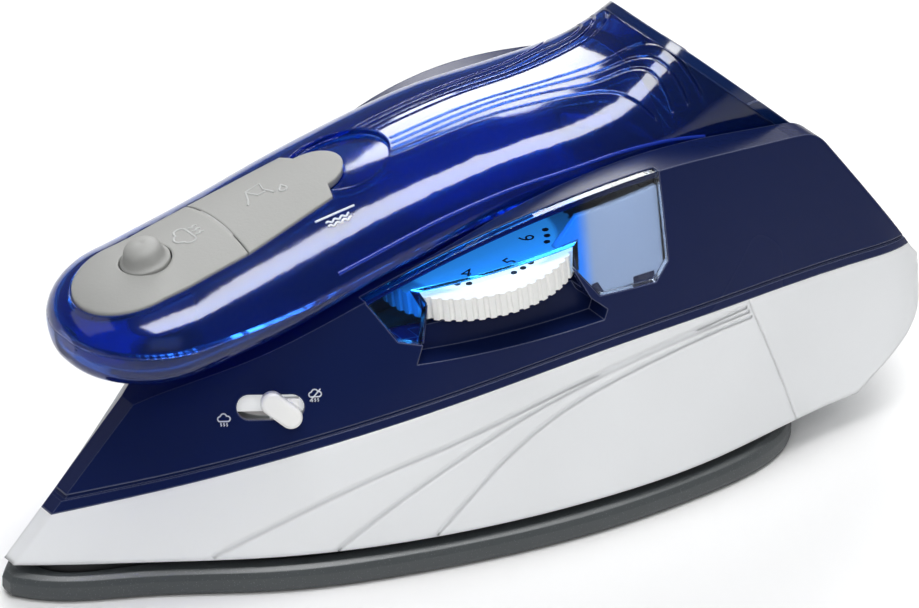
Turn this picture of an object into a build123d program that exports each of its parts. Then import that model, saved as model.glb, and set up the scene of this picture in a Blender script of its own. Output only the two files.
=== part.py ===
from build123d import *
import math
import os

os.makedirs("parts", exist_ok=True)

# A travel steam iron, folded: +X towards the tail, -X towards the nose, +Z up, millimetres.
# The soleplate's pressing face lies on Z = 0 and the iron is symmetric about Y = 0.

# Driving dimensions of the housing
sole_thickness = 5.0
skirt_bottom = 7.0
parting_level = 36.0
housing_top = 70.0
wall = 2.0
fit = 0.15
snug = 0.05
skin_depth = 0.5
skin_groove_depth = 0.4
far = 60.0

# Half outlines in plan, from the corner of the narrow nose facet to the corner of the flat tail
sole_outline = [(-100, 1.5), (-96, 6), (-78, 15.4), (-56, 26.9), (-30, 35.0), (10, 40.0), (34, 38.6),
                (50, 35.4), (61, 29), (66.4, 19), (67.5, 10)]
base_outline = [(-99.3, 1.8), (-78, 13.9), (-56, 25.3), (-30, 33.9), (10, 38.9), (38, 37.2), (58, 32.9),
                (78, 29.6), (92, 26.2), (99.6, 14)]
middle_outline = [(-71, 2.2), (-60.5, 13.2), (-45, 23.2), (-22, 32.2), (11, 36.6), (37, 35.3), (57, 32.2),
                  (77, 29.2), (91, 25.4), (98.6, 13)]
top_outline = [(-38, 3), (-32.5, 10.5), (-21.5, 20), (-6, 27), (14, 30.6), (37, 29.4), (54, 27.2),
               (70, 25.4), (82, 22.5), (90, 12)]
nose_flare = 1.15
tail_tangent = (0.15, -1)

# Side view of the housing: deck edge, cheek corner, rear slope and the tail's underside
deck_edge = [(-73.4, 33.8), (-52.9, 43.9), (-32.6, 54.3), (-3.4, 65.6), (22, 69.2), (60.4, 66.3)]
deck_front = (-110, 13.3)
cheek_corner = (67, 65.5)
slope_foot = (91.5, 33.5)
tail_reach = 101.0
tail_upper = 24.6
tail_lower = 22.6
underside_front = (63, -1.5)
cheek_corner_radius = 8.0
slope_foot_radius = 14.0
parting_line = [(-110, 10.5), (-90.6, 15.6), (-58, 24.5), (-25, 32.4), (13, 37.7), (42, 37.8),
                (74, 36.1), (110, 33.5)]
flange_height = 1.7
flange_groove = 0.7

# Grooves on the skirt's sides, in the side view
groove_width = 0.7
groove_lines = [
    [(-66.3, 7.5), (-51.7, 14.7), (-36.1, 21.0), (-15.7, 26.9), (-0.5, 31.0), (13.7, 33.6),
     (32.6, 35.6), (46.4, 36.2)],
    [(-44.4, 7.2), (-32.0, 15.6), (-15.8, 24.1), (-4.0, 28.8), (6.5, 31.6), (19.2, 33.8),
     (34.6, 35.0), (47.0, 35.1)],
    [(-25.3, 7.3), (-17.9, 14.2), (-8.6, 21.8), (1.0, 27.0), (11.7, 30.4), (22.8, 32.4),
     (34.5, 33.6), (47.6, 33.8)],
]

# Screw posts inside the housing
post_radius = 3.2
front_post_x = -65.0
front_web_low = 13.5
front_web_half = 2.0
housing_screw_places = [(front_post_x, 0, 12.0, 31.0), (34, -32.2, 12.4, 43.0), (34, 32.2, 12.4, 43.0)]
rear_post_x = 74.0
rear_post_y = 18.0
rear_head_low = 14.0
rear_screw_tip = 44.0

# Joint line between skirt and rear cover
rear_joint_top = (46.5, 38)
rear_joint_foot = (60, 7)

# Handle, which is the water tank: stations of seam height, half width, top and bottom along its length
handle_stations = [
    (-67.5, 53.2, 21.3, 63.0, 43.5),
    (-50, 55.4, 22.2, 67.4, 48.0),
    (-26, 60.6, 22.8, 73.5, 56.8),
    (0, 65.4, 23.0, 78.0, 61.8),
    (20, 66.6, 22.6, 79.2, 62.9),
    (31, 66.6, 21.6, 80.6, 62.6),
    (38, 66.2, 20.8, 83.0, 61.4),
    (45, 65.5, 20.2, 87.6, 60.4),
    (56, 64.5, 20.0, 94.0, 59.0),
    (76, 64.0, 20.0, 100.0, 59.0),
]
station_count = 24
nose_length = 19.2
nose_angles = (10, 24, 38, 52, 65, 78)
nose_seam_slope = 0.125
upper_power = 2.2
nose_power = 1.8
power_growth = 0.006
lower_power = 2.6
tank_wall = 2.2
tank_end = 36.0
bulkhead_thickness = 2.5
passage_z = 65.4
passage_radius = 1.3
outlet_reach = (-8.0, 7.0)
outlet_wall = 0.55
trough_gap = 0.8
trough_wall = 1.4

# Grip grooves on the handle's top, half of them in plan: they fan out over the flared rear end
grip_groove_width = 0.6
grip_groove_depth = 0.5
grip_groove_low = 70.0
grip_groove_lines = [
    [(-15.5, 2.2), (4, 2.4), (22, 3.2), (33, 4.4), (38.5, 5.6), (41.5, 8.6), (43.2, 13.8), (45.5, 18.4)],
    [(-16.2, 3.8), (2.3, 4.1), (20, 4.8), (30, 6.4), (35.8, 7.5), (39, 9.8), (40.8, 14), (42, 18.6)],
    [(-17, 5.3), (1.2, 5.8), (18, 6.7), (28, 8.7), (34, 9.3), (37, 11.4), (38.1, 15.1), (38.3, 18.8)],
    [(-18, 6.7), (-0.1, 7.6), (14, 8.6), (24, 10.5), (29, 12.8), (31.8, 15.9), (34.2, 19.0)],
]

# Hinge of the handle
pivot_x = 58.0
pivot_z = 58.0
barrel_radius = 14.0
barrel_half_width = 20.0
saddle_gap = 1.2
end_plane_angle = 48.4
end_plane_distance = 10.2
end_plate_thickness = 2.0
pin_radius = 3.5
pin_clearance = 0.05
pin_inner_end = 12.0
pin_outer_end = 25.6
boss_radius = 6.5
boss_end = 27.5
seal_place = 14.0
pin_seal_width = 1.2
pin_seal_depth = 0.8
pin_seal_squeeze = 0.03
washer_play = 0.1
water_bore_radius = 1.5
rear_gap_bottom = 51.5

# Soleplate, heater and steam chamber
sole_profile = [(0, 1.0), (0.35, 0.3), (1.2, 0), (3.2, 0), (4.4, 0.5), (5.0, 1.6)]
element_path = [(46, -18), (-26, -18), (-72, -4.5), (-72, 4.5), (-26, 18), (46, 18)]
element_bends = [25, 5, 5, 25]
element_radius = 3.2
element_level = 9.0
element_rail_width = 9.0
terminal_pin_radius = 1.2
terminal_pin_length = 7.0
chamber_outline = [(38, -12), (38, 12), (-28, 12), (-60, 3.5), (-60, -3.5), (-28, -12)]
chamber_corner = 2.5
chamber_wall = 2.5
chamber_top = 12.0
gasket_thickness = 1.0
cover_thickness = 1.4
chamber_bosses = [(33, -7), (33, 7), (-24, -7), (-24, 7)]
chamber_boss_radius = 3.0
small_screw_radius = 1.25
small_head_radius = 2.3
small_head_height = 1.5
shield_screw_places = [(40, -31.3), (40, 31.3), (-40, -25), (-40, 25)]
steam_holes = [(-55, 0), (-46, -3), (-46, 3), (-37, -5.5), (-37, 5.5), (-14, -8), (-14, 8), (0, -8),
               (0, 8), (14, -8), (14, 8)]
steam_hole_radius = 1.4
shield_inset = 4.3
shield_width = 3.0
shield_top = 9.5
shield_gap = 0.4
shield_boss_radius = 3.0

# Temperature dial, a thumb wheel on a leaning shaft, and the thermostat under it
dial_x = -5.1
dial_y = -16.5
dial_z = 50.97
dial_lean = 8.0
dial_radius = 19.9
dial_low = 0.7
dial_high = 5.5
dial_top_thickness = 1.8
dial_rim_width = 2.6
dial_flutes = 56
flute_radius = 0.55
dial_room = 0.5
dial_headroom = 1.3
shaft_radius = 2.4
shaft_top = 4.0
shaft_length = 32.0
shaft_boss_radius = 4.4
thermostat_size = (18, 9, 7)
blade_size = (26, 3.2, 0.5)
blade_spread = 2.2
fuse_x = 11.0
fuse_radius = 2.5
fuse_length = 14.0
fuse_lead_radius = 0.8
fuse_lead_length = 3.0

# Window over the dial, finger scoop under it, and the lamp behind it, in the side view
window_corners = [(-33.3, 53.5), (-33.3, 75), (27.2, 75), (27.6, 51.4), (24.4, 48), (11.4, 48.6),
                  (5.4, 56.4), (-22.4, 54.6), (-24.8, 45.4), (-29.2, 46.4)]
window_thickness = 1.7
scoop_corners = [(-26.4, 41.9), (12, 43.7), (12.9, 45.6), (9.4, 48.6), (5.4, 56.4), (-22.4, 54.6),
                 (-24.6, 46)]
scoop_depth = 5.5
scoop_back = 1.5
scoop_back_corners = [(-28, 40.2), (13.6, 42), (14.6, 46), (12, 50.6), (-27.4, 46)]
lamp_radius = 2.4
lamp_length = 12.0
lamp_place = (16.5, -22, 52)
lamp_shelf_low = (20, -40, 47.6)
lamp_shelf_high = (25, -19.6, 49.6)
diffuser_corners = [(12.4, 48.2), (27.2, 48.4), (27.2, 65.8), (9, 64.2), (3, 58.5)]
diffuser_depth = (2.05, 3.25)

# Steam slider in its slot on the left wall, with the ramp that lifts the valve needle
slot_centre = (-52.8, -19.2, 35.6)
slot_along = (0.8709, -0.4915, 0)
slot_inward = (0.4915, 0.8709, 0)
slot_outward = (-0.465, -0.824, 0.323)
slot_length = 12.8
slot_width = 4.8
carriage_depth = 5.5
carriage_thickness = 1.5
carriage_length = 19.7
carriage_width = 4.4
carriage_middle = (3.15, 0.9)
carriage_play = 0.3
slide_travel = 6.0
neck_along = 3.4
neck_size = (4.0, 3.4)
knob_lift = 0.8
knob_place = (2.0, -0.2)
knob_length = 8.8
knob_width = 4.4
knob_turn = -37.0
knob_height = 2.8
knob_edge = 0.9
ramp_slope = 0.25
ramp_start = -6.0
ramp_length = 20.0
ramp_low = 31.0
fork_low = 29.5
fork_half_width = 6.0
fork_slot_half = 2.5
arm_thickness = 1.4
arm_width = 6.0
arm_overlap = (2.1, 0.5)
valve_x = -44.0
valve_y = -2.5
valve_radius = 6.0
valve_top = 27.0
spout_radius = 2.4
spout_bore = 0.8
spout_end = 10.5
nipple_level = 21.0
nipple_radius = 1.15
nipple_bore = 0.7
nipple_end = 9.0
needle_radius = 2.0
needle_clearance = 0.05
needle_seat = 16.0
needle_tip = 16.2
needle_head_low = 33.8
needle_head_height = 2.5
needle_head_radius = 5.2
seal_radius = 4.0
seal_height = 1.5

# Grey pad on the handle's nose, with the flap and the button
pad_front = -83.0
pad_half_width = 11.4
pad_rear_half_width = 9.6
pad_tab_x = -32.0
pad_tab_radius = 6.2
pad_thickness = 1.4
pad_proud = 0.3
pad_gap = 0.3
flap_line = -52.6
flap_gap = 0.3
button_gap = 0.3
tab_scoop_x = -26.0
tab_scoop_size = (10.2, 9.6)
tab_scoop_depth = 1.2
filler_x = -41.0
filler_size = (12.0, 12.0)
filler_corner = 3.0
filler_low = 60.0
plug_depth = 3.2
plug_play = (1.6, 1.2)
plug_forward = 0.3
button_x = -68.6
button_z = 62.85
button_lean = 15.0
button_radius = 4.9
button_crown = 4.0
button_skirt = 1.4
button_profile = [(4.9, 0.3), (4.15, 0.9), (3.85, 1.9), (3.5, 3.0), (2.5, 3.8)]
pump_radius = 6.4
pump_top = -1.6
pump_depth = 13.5
pump_pocket = 5.6
pump_bore_end = 11.5
pump_outlet_radius = 0.9
pump_valve_radius = 2.3
pump_valve_thickness = 1.2
piston_radius = 2.5
piston_neck_radius = 1.6
piston_top = 4.4
piston_reach = 9.0
spring_radius = 3.6
spring_wire = 0.4
spring_pitch = 1.3
spring_play = 0.1

# Cord gland, terminal block and leads in the tail
gland_x = 83.8
gland_z = 43.5
gland_rise = 37.4
gland_bore = 3.6
gland_radius = 5.6
gland_flange_radius = 7.6
gland_length = 8.0
gland_flange = 1.8
block_centre = (80, 0, 24)
block_size = (12, 26, 10)
block_hole_places = (-8, 0, 8)
block_hole_radius = 2.0
rib_y = 9.0
rib_half_width = 1.0
rib_half_length = 5.0
lead_radius = 1.1
lead_bend = 2.2
lead_paths = {
    "live_wire": [(74, -8, 24), (69, -8, 24), (62, -15, 24), (52, -18, 20), (52, -18, 10.3)],
    "neutral_wire": [(74, 3, 24), (69, 3, 24), (48, 3, 27), (22, -8, 28), (11.5, -14.3, 28),
                     (11.5, -14.3, 22)],
    "earth_wire": [(74, 8, 24), (69, 8, 24), (48, 9, 24), (33, 7, 24), (33, 7, 16)],
    "heater_wire": [(28, 0, 16.9), (33, 0, 16.9), (41, 4, 18.5), (52, 18, 18.5), (52, 18, 10.3)],
    "fuse_wire": [(8, 0, 16.9), (3, 0, 16.9), (3, 0, 25), (-11.5, -18.7, 25), (-11.5, -18.7, 22)],
}
hose_y = 24.3
hose_radius = 2.0
hose_bore = 1.2
hose_bend = 5.0
hose_path = [(58, 24.3, 51.4), (58, 24.3, 34), (40, 21, 26), (-28, 17, 22), (-44, 13, 21), (-44, 3.7, 21)]


def inset_outline(points, inset):
    """Moves a half outline inwards along its own normals."""
    moved = [(points[0][0] + 1.4 * inset, points[0][1])]
    for before, here, after in zip(points, points[1:], points[2:]):
        run = math.hypot(after[0] - before[0], after[1] - before[1])
        across = ((after[1] - before[1]) / run, -(after[0] - before[0]) / run)
        place = (here[0] + inset * across[0], here[1] + inset * across[1])
        if place[0] > moved[0][0] and place[1] > moved[0][1]:
            moved.append(place)
    moved.append((points[-1][0] - inset, points[-1][1]))
    return moved


def plan_face(points, height, inset=0.0):
    """A closed plan outline, mirrored about the middle line, at a height."""
    side = inset_outline(points, inset)
    nose_tangent = (side[1][0] - side[0][0], nose_flare * (side[1][1] - side[0][1]))
    with BuildSketch(Plane.XY.offset(height)) as plan:
        with BuildLine():
            half = Spline(*side, tangents=[nose_tangent, tail_tangent], tangent_scalars=[1, 1])
            mirror(half, about=Plane.XZ)
            Line(side[0], (side[0][0], -side[0][1]))
            Line(side[-1], (side[-1][0], -side[-1][1]))
        make_face()
    return plan.sketch


def wall_block(inset):
    """The space inside the housing's side walls, set in from its skin."""
    with BuildPart() as block:
        loft(sections=[
            plan_face(base_outline, skirt_bottom, inset).face(),
            plan_face(middle_outline, parting_level, inset).face(),
            plan_face(top_outline, housing_top, inset).face(),
        ])
    return block.part


def side_block(inset):
    """The housing's side view as a block across its whole width, set in from its skin."""
    edge = [(x, z - inset) for x, z in deck_edge]
    tail_top = (tail_reach - 2.5 * inset, tail_upper + 0.4 * inset)
    with BuildPart() as block:
        with BuildSketch(Plane.XZ):
            with BuildLine():
                Line((deck_front[0], -5), (deck_front[0], deck_front[1] - inset))
                Line((deck_front[0], deck_front[1] - inset), edge[0])
                Spline(*edge, tangents=[(1, 0.56), (1, -0.09)])
                FilletPolyline(
                    edge[-1],
                    (cheek_corner[0] - inset, cheek_corner[1] - inset),
                    (slope_foot[0] - inset, slope_foot[1] - inset),
                    tail_top,
                    radius=[cheek_corner_radius, slope_foot_radius],
                )
                Polyline(
                    tail_top,
                    (tail_top[0], tail_lower + 0.05 * inset),
                    (underside_front[0] - inset, underside_front[1] + inset),
                    (underside_front[0] - inset, -5),
                    (deck_front[0], -5),
                )
            make_face()
        extrude(amount=far, both=True)
    return block.part


def side_prism(corners, near_only=False, grow=0.0):
    """A side-view polygon as a prism across the iron, or through its left half only."""
    with BuildPart() as prism:
        with BuildSketch(Plane.XZ):
            with BuildLine():
                Polyline(*corners, close=True)
            make_face()
            if grow:
                offset(amount=grow)
        extrude(amount=far, both=not near_only)
    return prism.part


def under_curve(points, rise=0.0):
    """Everything below a side-view curve, across the whole iron."""
    curve = [(x, z + rise) for x, z in points]
    with BuildPart() as block:
        with BuildSketch(Plane.XZ):
            with BuildLine():
                Spline(*curve)
                Polyline(curve[-1], (curve[-1][0], -20), (curve[0][0], -20), curve[0])
            make_face()
        extrude(amount=far, both=True)
    return block.part


def power_arc(half_width, height, power, first, last):
    """Points of a rounded half section, from one side to the other."""
    points = []
    for step in range(9):
        turn = first + (last - first) * step / 8
        across = math.copysign(abs(math.cos(turn)) ** (2 / power), math.cos(turn))
        up = abs(math.sin(turn)) ** (2 / power) if 0 < step < 8 else 0.0
        points.append((half_width * across, height * up))
    return points


def handle_face(x, seam, half_width, top, bottom):
    """A cross section of the handle, rounder above its seam than below it."""
    power = min(upper_power, nose_power + power_growth * max(0, x - handle_stations[0][0]))
    upper = power_arc(half_width, top - seam, power, 0, math.pi)
    lower = power_arc(half_width, seam - bottom, lower_power, math.pi, 2 * math.pi)
    with BuildSketch(Plane.YZ.offset(x)) as section:
        with BuildLine():
            Spline(*[(y, seam + z) for y, z in upper])
            Spline(*[(y, seam - z) for y, z in lower])
        make_face()
    return section.sketch.face()


def station_at(x):
    """Seam height, half width, top and bottom of the handle at a place along it, on a smooth curve."""
    last = len(handle_stations) - 1
    here = max(k for k in range(last) if handle_stations[k][0] <= x)
    start, end = handle_stations[here], handle_stations[here + 1]
    before = handle_stations[max(here - 1, 0)]
    after = handle_stations[min(here + 2, last)]
    span = end[0] - start[0]
    share = (x - start[0]) / span
    values = []
    for k in range(1, 5):
        slope_in = (end[k] - before[k]) / (end[0] - before[0]) * span
        slope_out = (after[k] - start[k]) / (after[0] - start[0]) * span
        rise = 3 * share**2 - 2 * share**3
        lead_in = share - 2 * share**2 + share**3
        lead_out = share**3 - share**2
        middle = start[k] + (end[k] - start[k]) * rise
        values.append(middle + slope_in * lead_in + slope_out * lead_out)
    return values


def handle_block(grow):
    """The handle's outer form, grown or, with a negative value, shrunk all round."""
    first_x, first_seam, first_half, first_top, first_bottom = handle_stations[0]
    last_x = handle_stations[-1][0]
    faces = []
    for angle in nose_angles:
        turn = math.radians(angle)
        x = first_x - (nose_length + grow) * math.cos(turn)
        seam = first_seam + nose_seam_slope * (x - first_x)
        faces.append(handle_face(
            x,
            seam,
            (first_half + grow) * math.sin(turn),
            seam + (first_top - first_seam + grow) * math.sin(turn),
            seam - (first_seam - first_bottom + grow) * math.sin(turn) ** 0.6,
        ))
    for count in range(station_count):
        x = first_x + (last_x - first_x) * count / station_count
        seam, half_width, top, bottom = station_at(x)
        faces.append(handle_face(x, seam, half_width + grow, top + grow, bottom - grow))
    with BuildPart() as block:
        loft(sections=faces)
    return block.part


def pivot_drum(radius, half_width):
    """A drum across the iron, about the handle's pivot."""
    with BuildPart() as drum:
        with BuildSketch(Plane.XZ.offset(-half_width)):
            with Locations((pivot_x, pivot_z)):
                Circle(radius)
        extrude(amount=2 * half_width)
    return drum.part


def behind_end_plane(distance):
    """Everything beyond the plane of the handle's flat rear end, at a distance from the pivot."""
    turn = math.radians(end_plane_angle)
    outward = (math.cos(turn), 0, math.sin(turn))
    foot = (pivot_x + distance * outward[0], 0, pivot_z + distance * outward[2])
    with BuildPart() as block:
        with BuildSketch(Plane(origin=foot, x_dir=(0, 1, 0), z_dir=outward)):
            Rectangle(2 * far, 2 * far)
        extrude(amount=far)
    return block.part


def pad_prism(grow):
    """The grey pad's plan outline, straight up through the handle."""
    with BuildPart() as prism:
        with BuildSketch():
            with BuildLine():
                side = Polyline(
                    (pad_front + pad_half_width, pad_half_width),
                    (flap_line, pad_half_width),
                    (pad_tab_x - 1, pad_rear_half_width),
                    (pad_tab_x, pad_tab_radius),
                )
                mirror(side, about=Plane.XZ)
                RadiusArc((pad_tab_x, pad_tab_radius), (pad_tab_x, -pad_tab_radius), pad_tab_radius)
                RadiusArc(
                    (pad_front + pad_half_width, -pad_half_width),
                    (pad_front + pad_half_width, pad_half_width),
                    pad_half_width,
                )
            make_face()
            if grow:
                offset(amount=grow)
        extrude(amount=2 * far)
    return prism.part


def write(piece, name):
    """Labels a finished piece and writes it."""
    piece.part.label = name
    export_step(piece.part, f"parts/{name}.step")


def chamber_ring(low, high):
    """The steam chamber's wall outline as a ring between two levels."""
    with BuildPart() as ring:
        with BuildSketch(Plane.XY.offset(low)) as outline:
            Polygon(*chamber_outline, align=None)
            fillet(outline.vertices(), radius=chamber_corner)
            offset(amount=-chamber_wall, mode=Mode.SUBTRACT)
        extrude(amount=high - low)
    return ring.part


def upright(x, y, low, high, radius):
    """An upright round bar between two levels."""
    with BuildPart() as bar:
        with BuildSketch(Plane.XY.offset(low)):
            with Locations((x, y)):
                Circle(radius)
        extrude(amount=high - low)
    return bar.part


def bar_between(start, end, radius):
    """A straight round bar between two places."""
    reach = Vector(*end) - Vector(*start)
    with BuildPart() as bar:
        with BuildSketch(Plane(origin=start, z_dir=reach)):
            Circle(radius)
        extrude(amount=reach.length)
    return bar.part


def pivot_bar(low, high, radius):
    """A round bar on the handle's pivot line, between two places across the iron."""
    return bar_between((pivot_x, low, pivot_z), (pivot_x, high, pivot_z), radius)


def cuboid(low, high):
    """A square block between two opposite corners."""
    with BuildPart() as block:
        with BuildSketch(Plane.XY.offset(low[2])):
            with Locations((low[0], low[1])):
                Rectangle(high[0] - low[0], high[1] - low[1], align=(Align.MIN, Align.MIN))
        extrude(amount=high[2] - low[2])
    return block.part


def round_tube(points, radius, bends, bore=0.0):
    """A tube along straight runs joined by bends."""
    with BuildPart() as tube:
        with BuildLine() as path:
            FilletPolyline(*points, radius=bends)
        with BuildSketch(Plane(origin=path.line @ 0, z_dir=path.line % 0)):
            Circle(radius)
            if bore:
                Circle(bore, mode=Mode.SUBTRACT)
        sweep(path=path.line)
    return tube.part


def screw(x, y, head_low, tip):
    """An upright screw: head at one level, tip at another, above or below it."""
    head_high = head_low + small_head_height
    with BuildPart() as fastener:
        add(upright(x, y, head_low, head_high, small_head_radius))
        add(upright(x, y, min(tip, head_low), max(tip, head_high), small_screw_radius))
    return fastener.part


# Blocks that several pieces are cut from
outer_body = wall_block(0) & side_block(0)
inner_body = wall_block(wall) & side_block(wall)
skin_body = wall_block(skin_depth) & side_block(skin_depth)
below_parting = under_curve(parting_line)
seam_line = [(-120, 45.6)] + [(x, seam) for x, seam, *_ in handle_stations] + [(120, 63)]
below_seam = under_curve(seam_line)
handle_outer = handle_block(0)
drum_half_width = barrel_half_width + trough_gap
joint_slope = (rear_joint_foot[0] - rear_joint_top[0]) / (rear_joint_foot[1] - rear_joint_top[1])
joint_ends = [(rear_joint_top[0] + joint_slope * (z - rear_joint_top[1]), z) for z in (48, -20)]
behind_joint = side_prism(joint_ends + [(2 * far, -20), (2 * far, 48)])
rear_gap = cuboid((pivot_x, -drum_half_width, rear_gap_bottom), (2 * far, drum_half_width, 2 * far))
gap_side = drum_half_width + trough_wall
rear_gap_outer = cuboid((pivot_x, -gap_side, rear_gap_bottom - trough_wall), (2 * far, gap_side, 2 * far))

with BuildPart() as cavity:
    add(inner_body)
    add(handle_block(trough_gap + trough_wall), mode=Mode.SUBTRACT)
    add(pivot_drum(barrel_radius + saddle_gap + trough_wall, gap_side), mode=Mode.SUBTRACT)
    add(rear_gap_outer, mode=Mode.SUBTRACT)

# Heating element, a bent tube that ends in two terminal pins
with BuildPart() as heating_element:
    add(round_tube([(x, y, element_level) for x, y in element_path], element_radius, element_bends))
    for x, y in (element_path[0], element_path[-1]):
        pin_end = (x + terminal_pin_length, y, element_level)
        add(bar_between((x, y, element_level), pin_end, terminal_pin_radius))
write(heating_element, "heating_element")

# Screws of the steam chamber's cover
cover_low = chamber_top + gasket_thickness
cover_high = cover_low + cover_thickness
with BuildPart() as chamber_screws:
    for x, y in chamber_bosses:
        add(screw(x, y, cover_high, element_level))
write(chamber_screws, "chamber_screws")

# Screws that hold the heat shield to the soleplate
with BuildPart() as sole_screws:
    for x, y in shield_screw_places:
        add(screw(x, y, shield_top, sole_thickness / 2))
write(sole_screws, "sole_screws")

# Soleplate: pressing plate, rail round the heater, chamber wall and bosses
with BuildPart() as soleplate:
    levels = [plan_face(sole_outline, level, inset).face() for level, inset in sole_profile]
    loft(sections=levels, ruled=True)
    with BuildSketch(Plane.XY.offset(sole_thickness)):
        with BuildLine():
            FilletPolyline(*element_path, radius=element_bends)
        trace(line_width=element_rail_width)
    extrude(amount=element_level - sole_thickness)
    add(chamber_ring(sole_thickness, chamber_top))
    for x, y in chamber_bosses:
        add(upright(x, y, sole_thickness, cover_low, chamber_boss_radius))
    for piece in (heating_element, chamber_screws, sole_screws):
        add(piece.part, mode=Mode.SUBTRACT)
    for x, y in steam_holes:
        add(upright(x, y, 0, sole_thickness, steam_hole_radius), mode=Mode.SUBTRACT)
write(soleplate, "soleplate")

with BuildPart() as steam_chamber_gasket:
    add(chamber_ring(chamber_top, cover_low))
    for x, y in chamber_bosses:
        add(upright(x, y, chamber_top, cover_low, chamber_boss_radius), mode=Mode.SUBTRACT)
write(steam_chamber_gasket, "steam_chamber_gasket")

# Cover of the steam chamber, with an ear under the thermostat and a hole for the valve's spout
lean = math.radians(dial_lean)
dial_plane = Plane(
    origin=(dial_x, dial_y, dial_z),
    x_dir=(math.cos(lean), 0, math.sin(lean)),
    z_dir=(-math.sin(lean), 0, math.cos(lean)),
)
thermostat_x = dial_x + (dial_z - cover_high) * math.tan(lean)
with BuildPart() as steam_chamber_cover:
    with BuildSketch(Plane.XY.offset(cover_low)) as outline:
        Polygon(*chamber_outline, align=None)
        fillet(outline.vertices(), radius=chamber_corner)
        with Locations((thermostat_x, dial_y)):
            Rectangle(thermostat_size[0], thermostat_size[1] + 1)
    extrude(amount=cover_thickness)
    add(chamber_screws.part, mode=Mode.SUBTRACT)
    add(upright(valve_x, valve_y, 0, valve_top, spout_radius + snug), mode=Mode.SUBTRACT)
write(steam_chamber_cover, "steam_chamber_cover")

# Heat shield, the dark ring between soleplate and skirt
shield_height = shield_top - sole_thickness
with BuildPart() as heat_shield:
    extrude(plan_face(sole_outline, sole_thickness, shield_inset), amount=shield_height)
    extrude(
        plan_face(sole_outline, sole_thickness, shield_inset + shield_width),
        amount=shield_height,
        mode=Mode.SUBTRACT,
    )
    for x, y in shield_screw_places:
        add(upright(x, y, sole_thickness, shield_top, shield_boss_radius))
    above_skirt_edge = cuboid((-2 * far, -far, skirt_bottom), (2 * far, far, 2 * shield_top))
    add(above_skirt_edge - wall_block(wall + shield_gap), mode=Mode.SUBTRACT)
    add(sole_screws.part, mode=Mode.SUBTRACT)
write(heat_shield, "heat_shield")

# Thermostat: ceramic base, contact blades and the leaning shaft that the dial turns
with BuildPart() as thermostat_base:
    with BuildSketch(Plane.XY.offset(cover_high)):
        with Locations((thermostat_x, dial_y)):
            RectangleRounded(thermostat_size[0], thermostat_size[1], 1)
    extrude(amount=thermostat_size[2])
write(thermostat_base, "thermostat_base")

blade_low = cover_high + thermostat_size[2]
with BuildPart() as thermostat_blades:
    for y in (dial_y - blade_spread, dial_y + blade_spread):
        with BuildSketch(Plane.XY.offset(blade_low)):
            with Locations((thermostat_x, y)):
                Rectangle(blade_size[0], blade_size[1])
        extrude(amount=blade_size[2])
write(thermostat_blades, "thermostat_blades")

with BuildPart() as thermostat_shaft:
    with BuildSketch(dial_plane.offset(shaft_top - shaft_length)):
        Circle(shaft_radius)
    extrude(amount=shaft_length)
write(thermostat_shaft, "thermostat_shaft")

# Temperature dial: a shallow upturned cup with a fluted rim
with BuildPart() as temperature_dial:
    with BuildSketch(dial_plane.offset(dial_low)):
        Circle(dial_radius)
        with PolarLocations(dial_radius, dial_flutes):
            Circle(flute_radius, mode=Mode.SUBTRACT)
    extrude(amount=dial_high - dial_low)
    with BuildSketch(dial_plane.offset(dial_low)):
        Circle(dial_radius - dial_rim_width)
        Circle(shaft_boss_radius, mode=Mode.SUBTRACT)
    extrude(amount=dial_high - dial_low - dial_top_thickness, mode=Mode.SUBTRACT)
    add(thermostat_shaft.part, mode=Mode.SUBTRACT)
write(temperature_dial, "temperature_dial")

with BuildPart() as dial_space:
    with BuildSketch(dial_plane.offset(dial_low - dial_room)):
        Circle(dial_radius + dial_room)
    extrude(amount=dial_high - dial_low + dial_room + dial_headroom)

# Thermal fuse with its two lead ends, lying on the chamber's cover
fuse_level = cover_high + fuse_radius
with BuildPart() as thermal_fuse:
    fuse_end = fuse_x + fuse_length
    add(bar_between((fuse_x, 0, fuse_level), (fuse_end, 0, fuse_level), fuse_radius))
    for start in (fuse_x - fuse_lead_length, fuse_end):
        lead_end = (start + fuse_lead_length, 0, fuse_level)
        add(bar_between((start, 0, fuse_level), lead_end, fuse_lead_radius))
write(thermal_fuse, "thermal_fuse")

# Steam valve: body with a spout into the chamber and a hose nipple, needle and seal
nipple_ends = [(valve_x, valve_y, nipple_level), (valve_x, nipple_end, nipple_level)]
needle_bore = needle_radius + needle_clearance
with BuildPart() as valve_body:
    add(upright(valve_x, valve_y, cover_high, valve_top, valve_radius))
    add(upright(valve_x, valve_y, spout_end, cover_high, spout_radius))
    add(bar_between(*nipple_ends, nipple_radius))
    add(upright(valve_x, valve_y, needle_seat, valve_top, needle_bore), mode=Mode.SUBTRACT)
    add(upright(valve_x, valve_y, spout_end, valve_top, spout_bore), mode=Mode.SUBTRACT)
    add(bar_between(*nipple_ends, nipple_bore), mode=Mode.SUBTRACT)
write(valve_body, "valve_body")

with BuildPart() as valve_seal:
    add(upright(valve_x, valve_y, valve_top, valve_top + seal_height, seal_radius))
    add(upright(valve_x, valve_y, valve_top, valve_top + seal_height, needle_bore), mode=Mode.SUBTRACT)
write(valve_seal, "valve_seal")

with BuildPart() as valve_needle:
    needle_head_high = needle_head_low + needle_head_height
    add(upright(valve_x, valve_y, needle_tip, needle_head_low, needle_radius))
    add(upright(valve_x, valve_y, needle_head_low, needle_head_high, needle_head_radius))
write(valve_needle, "valve_needle")

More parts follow.
